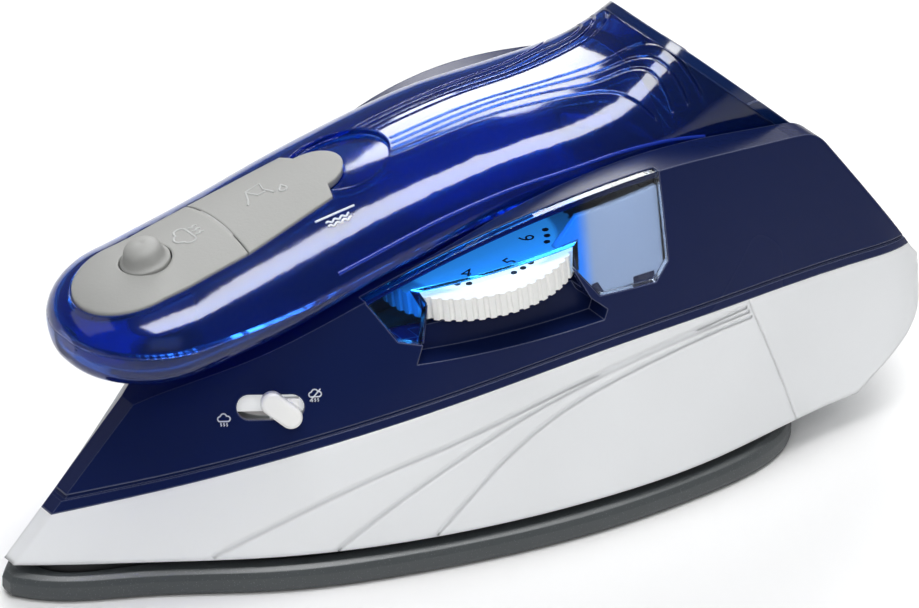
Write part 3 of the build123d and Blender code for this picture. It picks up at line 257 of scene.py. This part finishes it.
def moulded(name, colour, rough, grain=900.0, depth=0.00002, edge=0.3, edge_colour=None, specks=None,
            transmission=0.0, metallic=0.0, coat=0.0, ior=1.5, soft=None, shine=0.5, drift=18.0):
    """A material with mould grain, softened edges with a painted highlight along them, and slow drift of tone
    and gloss.
    """
    material = bpy.data.materials.new(name)
    material.use_nodes = True
    tree = material.node_tree
    shader = tree.nodes["Principled BSDF"]
    texture = group_node(tree, "Moulded Grain", Scale=grain, Drift=drift)
    edges = group_node(tree, "Soft Edge", Radius=soft or bpy.context.scene.iron_sizes.soft_edge)
    toned = blend_colour(tree, 1.0, colour, texture["Tone"], "MULTIPLY")
    if specks:
        flakes = group_node(tree, "Specks", Scale=specks[0], Share=specks[1])
        toned = blend_colour(tree, flakes["Mask"], toned, specks[2])
    # Painted highlight: the colour is mixed towards a lighter one along the Soft Edge mask, by the share edge.
    highlight_colour = edge_colour or tuple(min(1.0, part * 1.6 + 0.01) for part in colour)
    edge_highlight = add_node(tree, "ShaderNodeMath", operation="MULTIPLY")
    put(tree, edge_highlight.inputs[0], edges["Mask"])
    edge_highlight.inputs[1].default_value = edge
    put(tree, shader.inputs["Base Color"], blend_colour(tree, edge_highlight.outputs["Value"], toned, highlight_colour))
    gloss = add_node(tree, "ShaderNodeMath", operation="ADD")
    put(tree, gloss.inputs[0], texture["Sheen"])
    gloss.inputs[1].default_value = rough
    put(tree, shader.inputs["Roughness"], gloss.outputs["Value"])
    bump = add_node(tree, "ShaderNodeBump", {
        "Height": texture["Height"], "Normal": edges["Normal"], "Distance": depth, "Strength": 1.0})
    put(tree, shader.inputs["Normal"], bump.outputs["Normal"])
    shader.inputs["Transmission Weight"].default_value = transmission
    shader.inputs["Metallic"].default_value = metallic
    shader.inputs["Coat Weight"].default_value = coat
    shader.inputs["IOR"].default_value = ior
    shader.inputs["Specular IOR Level"].default_value = shine
    return material


def let_light_through(material, tint):
    """Lets light pass a clear wall without bending, tinted, so that what is behind it is lit."""
    tree = material.node_tree
    output = tree.nodes["Material Output"]
    shader = tree.nodes["Principled BSDF"]
    clear = add_node(tree, "ShaderNodeBsdfTransparent", {"Color": (*tint, 1)})
    ray = add_node(tree, "ShaderNodeLightPath").outputs["Is Shadow Ray"]
    either = add_node(tree, "ShaderNodeMixShader", {"Fac": ray})
    tree.links.new(shader.outputs["BSDF"], either.inputs[1])
    tree.links.new(clear.outputs["BSDF"], either.inputs[2])
    tree.links.new(either.outputs["Shader"], output.inputs["Surface"])


def fade_along(material, far_colour, start, end):
    """Fades a material's colour into another one along the iron, between two places."""
    tree = material.node_tree
    socket = tree.nodes["Principled BSDF"].inputs["Base Color"]
    near = socket.links[0].from_socket
    place = add_node(tree, "ShaderNodeTexCoord").outputs["Object"]
    along = add_node(tree, "ShaderNodeSeparateXYZ", {"Vector": place}).outputs["X"]
    put(tree, socket, blend_colour(tree, spread(tree, along, start, end, 0.0, 1.0), near, far_colour))


def light_up(material, centre, direction, strength, depth=0.0, ring=None):
    """Paints light on a piece: what lies beyond a place glows by emission, as if lit, and less outside a ring.
    """
    tree = material.node_tree
    place = add_node(tree, "ShaderNodeTexCoord").outputs["Object"]
    offset = add_node(tree, "ShaderNodeVectorMath", operation="SUBTRACT")
    put(tree, offset.inputs[0], place)
    offset.inputs[1].default_value = centre
    reach = add_node(tree, "ShaderNodeVectorMath", operation="DOT_PRODUCT")
    put(tree, reach.inputs[0], offset.outputs["Vector"])
    reach.inputs[1].default_value = direction
    mask = spread(tree, reach.outputs["Value"], depth, depth + 0.04 * MM, 0.0, 1.0)
    if ring:
        away = add_node(tree, "ShaderNodeVectorMath", operation="LENGTH")
        put(tree, away.inputs[0], offset.outputs["Vector"])
        inside = add_node(tree, "ShaderNodeMath", operation="MULTIPLY")
        put(tree, inside.inputs[0], mask)
        put(tree, inside.inputs[1], spread(tree, away.outputs["Value"], ring, ring + MM, 1.0, 0.25))
        mask = inside.outputs["Value"]
    shader = tree.nodes["Principled BSDF"]
    # Painted light: a pale emission colour on the masked part of the piece.
    put(tree, shader.inputs["Emission Color"], blend_colour(tree, mask, (0, 0, 0), (0.94, 0.97, 1.0)))
    shader.inputs["Emission Strength"].default_value = strength


def finish_nodes(material, *names):
    """Gives solid parts their finish."""
    for name in names:
        slots = nodes[name].data.materials
        slots.clear()
        slots.append(material)


# Lines laid on a surface

def landing(surface, start, direction):
    """Where a straight line from a place meets a solid part, and the way its face points there."""
    hit, place, normal, _ = nodes[surface].ray_cast(start, direction)
    if not hit:
        raise RuntimeError(f"nothing of {surface} lies under {tuple(start)}")
    return place, normal


def lay_lines(name, lines, radius, material, body, resolution=2):
    """Round lines through given places, joined into one piece."""
    bpy.ops.object.select_all(action="DESELECT")
    bpy.ops.curve.primitive_nurbs_path_add()
    piece = bpy.context.object
    piece.name = name
    curve = piece.data
    curve.splines.clear()
    for places in lines:
        line = curve.splines.new("POLY")
        line.points.add(len(places) - 1)
        for point, place in zip(line.points, places):
            point.co = (*place, 1)
    curve.bevel_depth = radius
    curve.bevel_resolution = resolution
    curve.use_fill_caps = True
    bpy.ops.object.convert(target="MESH")
    piece = bpy.context.object
    bpy.ops.object.shade_smooth_by_angle(angle=math.radians(50))
    return settle(piece, material, body)


def settle(piece, material, body):
    """Puts a finished piece's place into its mesh, gives it its finish and its body."""
    bpy.ops.object.select_all(action="DESELECT")
    piece.select_set(True)
    bpy.context.view_layer.objects.active = piece
    bpy.ops.object.transform_apply(location=True, rotation=True, scale=True)
    piece.data.materials.clear()
    piece.data.materials.append(material)
    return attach(piece, body)


def smooth_line(points, steps):
    """Points of a smooth curve through given places."""
    made = []
    last = len(points) - 1
    for k in range(last):
        before, here, there, after = points[max(k - 1, 0)], points[k], points[k + 1], points[min(k + 2, last)]
        for step in range(steps):
            t = step / steps
            made.append(tuple(
                0.5 * (2 * h + (n - b) * t + (2 * b - 5 * h + 4 * n - a) * t**2
                       + (3 * h - b - 3 * n + a) * t**3)
                for b, h, n, a in zip(before, here, there, after)))
    return made + [tuple(points[-1])]


def arc(centre, radius, first, last, steps=10):
    """Points of an arc in a flat drawing, angles in degrees."""
    turns = [math.radians(first + (last - first) * k / steps) for k in range(steps + 1)]
    return [(centre[0] + radius * math.cos(t), centre[1] + radius * math.sin(t)) for t in turns]


def cloud_drawing():
    """Outline of a puff of steam with three jets under it, about two units wide."""
    outline = arc((-0.55, 0.1), 0.38, 250, 95) + arc((-0.05, 0.42), 0.48, 160, 15)
    outline += arc((0.55, 0.15), 0.40, 80, -100)
    outline += [(-0.68, -0.26)]
    jets = [[(x, -0.45), (x - 0.12, -0.65), (x + 0.02, -0.8), (x - 0.1, -1.0)]
            for x in (-0.4, 0.05, 0.5)]
    return [outline] + jets


def jug_drawing():
    """Outline of a tilted measuring jug that pours, with a drop, about two units wide."""
    jug = [(-0.75, 0.05), (-0.45, 0.75), (0.35, 0.85), (0.2, 0.25), (0.45, -0.35)]
    mouth = [(-0.75, 0.05), (-0.95, -0.25)]
    bottom = [(-0.45, 0.65), (-0.2, 0.05), (0.2, 0.05)]
    drop = [(0.95, -0.1), (0.7, -0.35)] + arc((0.86, -0.42), 0.18, 160, 400, 8) + [(0.95, -0.1)]
    return [jug, mouth, bottom, drop]


def on_surface(drawing, surface, centre, right, up, unit, lift):
    """A flat drawing set on a solid part: each point is dropped onto it along the drawing's normal."""
    right, up = Vector(right).normalized(), Vector(up)
    up = (up - right * up.dot(right)).normalized()
    out = right.cross(up)
    middle = Vector(centre) * MM
    lines = []
    for points in drawing:
        line = []
        for u, v in points:
            start = middle + (right * u + up * v) * unit * MM + out * PROBE_HEIGHT
            place, normal = landing(surface, start, -out)
            line.append(place + normal * lift)
        lines.append(line)
    return lines


class IRON_OT_housing_finish(bpy.types.Operator):
    """Navy top housing, white skirt and rear cover"""
    bl_idname = "iron.housing_finish"
    bl_label = "Housing Finish"

    def execute(self, context):
        colours = context.scene.iron_colours
        # The navy's edges get a strong painted highlight in pale grey-blue.
        navy = moulded("navy_plastic", colours.navy, 0.26, edge=0.8, edge_colour=(0.17, 0.19, 0.3), shine=0.12)
        finish_nodes(navy, "upper_housing")
        white = moulded("white_plastic", colours.white, 0.36, edge=0.1, soft=1.4 * MM)
        finish_nodes(white, "skirt", "rear_cover")
        return {"FINISHED"}


class IRON_OT_sole_finish(bpy.types.Operator):
    """Speckled coat of the soleplate, and the dark shield above it, painted near black as the shadow in the gap
    under the skirt
    """
    bl_idname = "iron.sole_finish"
    bl_label = "Sole Finish"

    def execute(self, context):
        colours = context.scene.iron_colours
        # The sole's rim gets a painted highlight in light grey.
        coating = moulded("sole_coating", colours.sole, 0.42, grain=1400.0, edge=0.5,
                          edge_colour=(0.16, 0.17, 0.18), specks=(2200.0, 0.16, (0.14, 0.15, 0.155)))
        finish_nodes(coating, "soleplate")
        # Painted shade: the recessed shield is near black to stand for the shadow in the gap between skirt and
        # sole.
        finish_nodes(moulded("shield_black", (0.008, 0.008, 0.009), 0.6), "heat_shield")
        return {"FINISHED"}


class IRON_OT_tank_finish(bpy.types.Operator):
    """Clear blue handle, its end plate and the window over the dial"""
    bl_idname = "iron.tank_finish"
    bl_label = "Tank Finish"

    def execute(self, context):
        colours = context.scene.iron_colours
        # The tank's edges get a painted highlight in lighter blue, and so do the end plate's below.
        tank = moulded("tank_blue", colours.tank, 0.08, depth=CLEAR_GRAIN, edge=0.3, transmission=0.9,
                       edge_colour=(0.2, 0.35, 0.9), ior=1.46)
        let_light_through(tank, (0.06, 0.22, 0.62))
        finish_nodes(tank, "tank_upper", "tank_lower")
        plate = moulded("end_plate_blue", tuple(0.3 * part for part in colours.tank), 0.12, depth=CLEAR_GRAIN,
                        edge=0.4, transmission=0.3, coat=0.3, edge_colour=(0.1, 0.16, 0.4), ior=1.46)
        finish_nodes(plate, "handle_end_plate")
        pane = moulded("window_blue", colours.window, 0.03, depth=0.5 * CLEAR_GRAIN, edge=0.0,
                       transmission=1.0, ior=1.4)
        fade_along(pane, colours.window_clear, 8.0 * MM, 11.0 * MM)
        let_light_through(pane, (0.9, 0.95, 1.0))
        finish_nodes(pane, "dial_window")
        return {"FINISHED"}


class IRON_OT_pad_finish(bpy.types.Operator):
    """Matt grey rubber of the pad, the flap and the button"""
    bl_idname = "iron.pad_finish"
    bl_label = "Pad Finish"

    def execute(self, context):
        colours = context.scene.iron_colours
        rubber = moulded("pad_grey", colours.pad, 0.62, grain=1600.0, depth=0.03 * MM, edge=0.25, soft=0.8 * MM)
        finish_nodes(rubber, "button_pad", "filler_flap", "steam_button")
        return {"FINISHED"}


class IRON_OT_control_finish(bpy.types.Operator):
    """White dial and slider with painted light on them, and the plate behind the window"""
    bl_idname = "iron.control_finish"
    bl_label = "Control Finish"

    def execute(self, context):
        colours = context.scene.iron_colours
        dial = moulded("dial_white", colours.control, 0.34, edge=0.2, soft=0.2 * MM)
        # Painted light: the dial's face glows, weaker outside the ring, for the front light that the handle
        # above keeps from it.
        light_up(dial, DIAL_CENTRE + DIAL_AXIS * (DIAL_FACE - 0.05 * MM), DIAL_AXIS, 0.55, ring=DIAL_GLOW_RING)
        finish_nodes(dial, "temperature_dial")
        slider = moulded("control_white", colours.control, 0.34, edge=0.2, soft=0.2 * MM)
        # Painted light: the slider glows inside its slot, where the slot's upper lip shades it.
        light_up(slider, SLOT_CENTRE, SLOT_INWARD, 0.4, KNOB_DEPTH)
        finish_nodes(slider, "steam_slider")
        finish_nodes(moulded("diffuser_white", (0.86, 0.86, 0.9), 0.4), "lamp_diffuser")
        return {"FINISHED"}


class IRON_OT_inner_finish(bpy.types.Operator):
    """Metal, ceramic, rubber and insulation of the inner works"""
    bl_idname = "iron.inner_finish"
    bl_label = "Inner Finish"

    def execute(self, context):
        for name, colour, rough, metal, pieces in INNER_FINISHES:
            finish_nodes(moulded(name, colour, rough, metallic=metal), *pieces)
        finish_nodes(moulded("lamp_red", (0.8, 0.1, 0.05), 0.15, transmission=0.5), "pilot_lamp")
        return {"FINISHED"}


class IRON_OT_steam_marks(bpy.types.Operator):
    """Printed signs beside the slider: steam, and steam crossed out"""
    bl_idname = "iron.steam_marks"
    bl_label = "Steam Marks"

    def execute(self, context):
        colours, sizes = context.scene.iron_colours, context.scene.iron_sizes
        paint = moulded("light_print", colours.light_print, 0.5, edge=0.0)
        for name, centre, crossed in (("steam_mark_on", (-60.5, -14.9, 33.2), False),
                                      ("steam_mark_off", (-45.0, -22.6, 37.6), True)):
            drawing = cloud_drawing()
            if crossed:
                drawing.append([(-0.8, -0.9), (0.85, 0.95)])
            lines = on_surface(drawing, "upper_housing", centre, SLOT_ALONG, (0.2, 0.2, 1),
                               STEAM_SIGN_UNIT, PRINT_LIFT)
            lay_lines(name, lines, sizes.icon_line, paint, "iron", 1)
        return {"FINISHED"}


class IRON_OT_tank_bead(bpy.types.Operator):
    """Fine bead along either flank of the tank, above its seam"""
    bl_idname = "iron.tank_bead"
    bl_label = "Tank Bead"

    def execute(self, context):
        side_view = [(-39.1, 61.3), (-25.8, 64.7), (-14.6, 67.2), (-1.1, 69.2),
                     (13.0, 69.9), (24.3, 70.2), (36.0, 69.3), (45.0, 67.6)]
        lines = []
        for side in (-1, 1):
            line = []
            for x, z in smooth_line(side_view, 6):
                place, normal = landing("tank_upper", Vector((x, side * 60, z)) * MM, Vector((0, -side, 0)))
                line.append(place - normal * BEAD_SINK)
            lines.append(line)
        lay_lines("tank_bead", lines, context.scene.iron_sizes.bead, bpy.data.materials["tank_blue"],
                  "handle", 3)
        return {"FINISHED"}


class IRON_OT_level_mark(bpy.types.Operator):
    """Water level mark on the tank: a bar over two waves"""
    bl_idname = "iron.level_mark"
    bl_label = "Level Mark"

    def execute(self, context):
        bar = [(-1 + 0.1 * k, 0) for k in range(21)]
        waves = [[(-0.6 + 0.06 * k, low + 0.06 * math.sin(1.05 * k)) for k in range(21)]
                 for low in (-0.3, -0.52)]
        lines = on_surface([bar] + waves, "tank_upper", (-34.85, -13.45, 69.9), (0.974, -0.099, 0.2),
                           (-0.017, 0.858, 0.507), LEVEL_MARK_UNIT, PRINT_LIFT)
        lay_lines("level_mark", lines, context.scene.iron_sizes.level_line, bpy.data.materials["light_print"],
                  "handle", 1)
        return {"FINISHED"}


class IRON_OT_pad_marks(bpy.types.Operator):
    """Raised signs on the rubber: a steam jet on the pad, a pouring jug on the flap"""
    bl_idname = "iron.pad_marks"
    bl_label = "Pad Marks"

    def execute(self, context):
        rubber = bpy.data.materials["pad_grey"]
        radius = context.scene.iron_sizes.emboss_line
        lines = on_surface(cloud_drawing(), "button_pad", (-59.4, 0.6, 66.2), (0, 1, 0), (-0.966, 0, -0.26),
                           PAD_SIGN_UNIT, -EMBOSS_SINK)
        lay_lines("pad_steam_mark", lines, radius, rubber, "handle")
        lines = on_surface(jug_drawing(), "filler_flap", (-42.6, 0.5, 70.4), (0.97, 0, 0.24), (0, 1, 0),
                           JUG_SIGN_UNIT, -EMBOSS_SINK)
        lay_lines("flap_jug_mark", lines, radius, rubber, "flap")
        return {"FINISHED"}


class IRON_OT_flap_web(bpy.types.Operator):
    """Thin web of rubber that joins pad and flap in the middle, between two slits"""
    bl_idname = "iron.flap_web"
    bl_label = "Flap Web"

    def execute(self, context):
        line = []
        for step in range(13):
            y = WEB_HALF_LENGTH * (step / 6 - 1)
            place, _ = landing("button_pad", Vector((WEB_X - 0.55, y, 90)) * MM, Vector((0, 0, -1)))
            line.append((WEB_X * MM, y * MM, place.z - 0.12 * MM))
        lay_lines("flap_web", [line], WEB_RADIUS, bpy.data.materials["pad_grey"], "handle")
        return {"FINISHED"}


class IRON_OT_dial_marks(bpy.types.Operator):
    """Numbers and dots printed on the dial's face"""
    bl_idname = "iron.dial_marks"
    bl_label = "Dial Marks"

    def execute(self, context):
        ink = moulded("dark_print", context.scene.iron_colours.dark_print, 0.5, edge=0.0)
        face = Matrix.Translation(DIAL_CENTRE + DIAL_AXIS * (DIAL_FACE + PRINT_LIFT))
        face @= Matrix.Rotation(-DIAL_LEAN, 4, "Y")
        flat = []
        for number in range(1, 7):
            turn = math.radians(FIRST_NUMBER_TURN + NUMBER_TURN * number)
            dots = (number + 1) // 2
            bpy.ops.object.select_all(action="DESELECT")
            bpy.ops.object.text_add()
            text = context.object
            text.data.body = str(number)
            text.data.size = NUMBER_SIZE
            text.data.extrude = PRINT_THICKNESS / 2
            text.data.align_x, text.data.align_y = "CENTER", "CENTER"
            bpy.ops.object.convert(target="MESH")
            text = context.object
            spot = Matrix.Translation((NUMBER_RING * math.cos(turn), NUMBER_RING * math.sin(turn), 0))
            text.matrix_world = face @ spot @ Matrix.Rotation(turn + math.pi / 2, 4, "Z")
            flat.append(text)
            for dot in range(dots):
                angle = turn + math.radians(DOT_TURN * (dot - (dots - 1) / 2))
                bpy.ops.object.select_all(action="DESELECT")
                bpy.ops.mesh.primitive_circle_add(vertices=20, radius=DOT_RADIUS, fill_type="NGON")
                bpy.ops.object.mode_set(mode="EDIT")
                bpy.ops.mesh.extrude_region_move(TRANSFORM_OT_translate={"value": (0, 0, PRINT_THICKNESS)})
                bpy.ops.object.mode_set(mode="OBJECT")
                spot = Matrix.Translation((DOT_RING * math.cos(angle), DOT_RING * math.sin(angle), 0))
                context.object.matrix_world = face @ spot
                flat.append(context.object)
        bpy.ops.object.select_all(action="DESELECT")
        for piece in flat:
            piece.select_set(True)
        context.view_layer.objects.active = flat[0]
        bpy.ops.object.join()
        flat[0].name = "dial_marks"
        settle(flat[0], ink, "dial")
        return {"FINISHED"}


class IRON_OT_stage(bpy.types.Operator):
    """Pale floor, soft lights and the camera"""
    bl_idname = "iron.stage"
    bl_label = "Stage"

    def execute(self, context):
        studio = context.scene.iron_studio
        bpy.ops.object.select_all(action="DESELECT")
        bpy.ops.mesh.primitive_plane_add(size=8, location=(0, 0, -FLOOR_DROP))
        floor = context.object
        floor.name = "floor"
        paint = moulded("floor_pale", (0.91, 0.91, 0.91), 0.6, grain=60.0, depth=0.0, edge=0.0, drift=0.4)
        floor.data.materials.append(paint)
        world = bpy.data.worlds.new("studio")
        world.use_nodes = True
        sky = world.node_tree.nodes["Background"].inputs
        sky["Color"].default_value = (0.95, 0.97, 1.0, 1)
        sky["Strength"].default_value = 0.12 * studio.light
        context.scene.world = world
        for name, place, aim, size, power, faces in LIGHTS:
            bpy.ops.object.light_add(type="AREA", location=place)
            light = context.object
            light.name = name
            light.data.shape = "RECTANGLE"
            light.data.size, light.data.size_y = size
            light.data.energy = power * studio.light
            light.rotation_euler = (Vector(aim) - Vector(place)).to_track_quat("-Z", "Y").to_euler()
            light.visible_diffuse, light.visible_glossy = faces == "matt", faces == "gloss"
        a, e = studio.azimuth, studio.elevation
        back = Vector((math.sin(a) * math.cos(e), -math.cos(a) * math.cos(e), math.sin(e)))
        bpy.ops.object.camera_add(location=CAMERA_TARGET + back * studio.distance)
        camera = context.object
        camera.data.lens = studio.lens
        camera.data.sensor_width = SENSOR_WIDTH
        camera.data.clip_end = 20
        right = Vector((math.cos(a), math.sin(a), 0))
        up = back.cross(right)
        turned_right = right * math.cos(studio.roll) + up * math.sin(studio.roll)
        turned_up = up * math.cos(studio.roll) - right * math.sin(studio.roll)
        camera.rotation_euler = Matrix((turned_right, turned_up, back)).transposed().to_euler()
        context.scene.camera = camera
        context.scene.view_settings.view_transform = "Standard"
        return {"FINISHED"}


class IRON_PT_panel(bpy.types.Panel):
    """Lists the iron's steps"""
    bl_idname = "IRON_PT_panel"
    bl_label = "Travel Iron"
    bl_space_type = "VIEW_3D"
    bl_region_type = "UI"
    bl_category = "Travel Iron"

    def draw(self, context):
        for step in STEPS:
            self.layout.operator(step.bl_idname)
        for group in (context.scene.iron_colours, context.scene.iron_sizes, context.scene.iron_studio):
            box = self.layout.box()
            for name in group.bl_rna.properties.keys():
                if name not in ("rna_type", "name"):
                    box.prop(group, name)


STEPS = (
    IRON_OT_housing_finish,
    IRON_OT_sole_finish,
    IRON_OT_tank_finish,
    IRON_OT_pad_finish,
    IRON_OT_control_finish,
    IRON_OT_inner_finish,
    IRON_OT_steam_marks,
    IRON_OT_tank_bead,
    IRON_OT_level_mark,
    IRON_OT_pad_marks,
    IRON_OT_flap_web,
    IRON_OT_dial_marks,
    IRON_OT_stage,
)
CLASSES = (IronColours, IronSizes, IronStudio, *STEPS, IRON_PT_panel)


def register():
    for each in CLASSES:
        bpy.utils.register_class(each)
    bpy.types.Scene.iron_colours = bpy.props.PointerProperty(type=IronColours)
    bpy.types.Scene.iron_sizes = bpy.props.PointerProperty(type=IronSizes)
    bpy.types.Scene.iron_studio = bpy.props.PointerProperty(type=IronStudio)


def unregister():
    del bpy.types.Scene.iron_colours
    del bpy.types.Scene.iron_sizes
    del bpy.types.Scene.iron_studio
    for each in reversed(CLASSES):
        bpy.utils.unregister_class(each)


def main():
    register()
    GROUPS["Moulded Grain"] = make_grain_group()
    GROUPS["Soft Edge"] = make_edge_group()
    GROUPS["Specks"] = make_dust_group()
    for step in STEPS:
        family, action = step.bl_idname.split(".")
        getattr(getattr(bpy.ops, family), action)()


if __name__ == "__main__":
    main()
